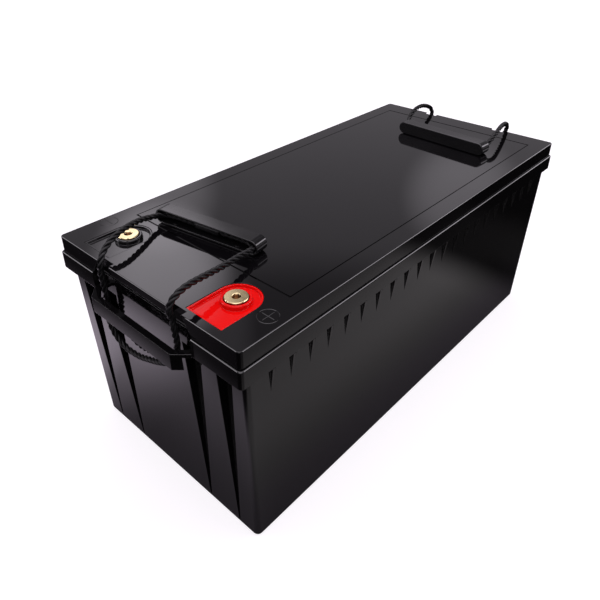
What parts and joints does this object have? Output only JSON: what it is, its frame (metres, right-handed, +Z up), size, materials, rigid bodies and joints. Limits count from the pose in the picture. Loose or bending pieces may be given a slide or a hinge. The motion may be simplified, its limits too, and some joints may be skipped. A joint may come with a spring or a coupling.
{
  "type": "battery pack",
  "caption": "Oblong deep-cycle battery pack in a black moulded case with a flat lid, recessed threaded studs in U-shaped trays and a rope carrying handle on each end.",
  "frame": {"origin": "under the middle of the box, at its underside", "axes": "+Z up, X along the length with the terminals at -X, positive (red) terminal at -Y and negative at +Y"},
  "size_m": [0.544, 0.24, 0.2408],
  "materials": {
    "case": "high gloss black ABS",
    "seal": "matte",
    "red_insert": "gloss red",
    "black_insert": "gloss black",
    "brass": "polished",
    "lug_metal": "tinned copper",
    "cell_case": "aluminium can in blue film",
    "epoxy_sheet": "matte",
    "aluminium": "satin",
    "steel": "satin",
    "foam": "closed-cell foam",
    "board": "solder mask",
    "cable_jacket": "silicone jacket",
    "film": "polyimide film",
    "grip": "moulded, semi-matt",
    "rope": "twisted synthetic rope"
  },
  "bodies": {
    "root": {"container": "case", "lid": "case", "lid_seal": "seal", "positive_insert": "red_insert", "negative_insert": "black_insert", "positive_terminal": "brass", "negative_terminal": "brass", "positive_lock_nut": "brass", "negative_lock_nut": "brass", "positive_lug": "lug_metal", "negative_lug": "lug_metal", "positive_lug_nut": "steel", "negative_lug_nut": "steel", "cell_1": "cell_case", "cell_2": "cell_case", "cell_3": "cell_case", "cell_4": "cell_case", "insulating_sheet_1": "epoxy_sheet", "insulating_sheet_2": "epoxy_sheet", "insulating_sheet_3": "epoxy_sheet", "insulating_sheet_4": "epoxy_sheet", "insulating_sheet_5": "epoxy_sheet", "busbar_1_2": "aluminium", "busbar_2_3": "aluminium", "busbar_3_4": "aluminium", "positive_tab": "aluminium", "negative_tab": "aluminium", "front_end_plate": "aluminium", "rear_end_plate": "aluminium", "lower_band": "steel", "upper_band": "steel", "base_foam": "foam", "left_foam": "foam", "right_foam": "foam", "rear_foam": "foam", "heat_sink": "aluminium", "bms_board": "board", "bms_screw_1": "steel", "bms_screw_2": "steel", "bms_screw_3": "steel", "bms_screw_4": "steel", "positive_cable": "cable_jacket", "return_cable": "cable_jacket", "output_cable": "cable_jacket", "sense_strip": "film", "front_rope_loop": "rope", "rear_rope_loop": "rope"},
    "front_handle": {"front_grip": "grip", "front_rope_left": "rope", "front_rope_right": "rope", "front_rope_splice": "grip"},
    "rear_handle": {"rear_grip": "grip", "rear_rope_left": "rope", "rear_rope_right": "rope", "rear_rope_splice": "grip"}
  },
  "joints": [
    {"name": "front_handle_swing", "type": "hinge", "parent": "root", "child": "front_handle", "pos_m": [-0.262, 0, 0.212], "axis": [0, -1, 0], "range_deg": [0, 180], "deforming": ["front_rope_left", "front_rope_right"]},
    {"name": "rear_handle_swing", "type": "hinge", "parent": "root", "child": "rear_handle", "pos_m": [0.262, 0, 0.212], "axis": [0, 1, 0], "range_deg": [0, 180], "deforming": ["rear_rope_left", "rear_rope_right"]}
  ]
}
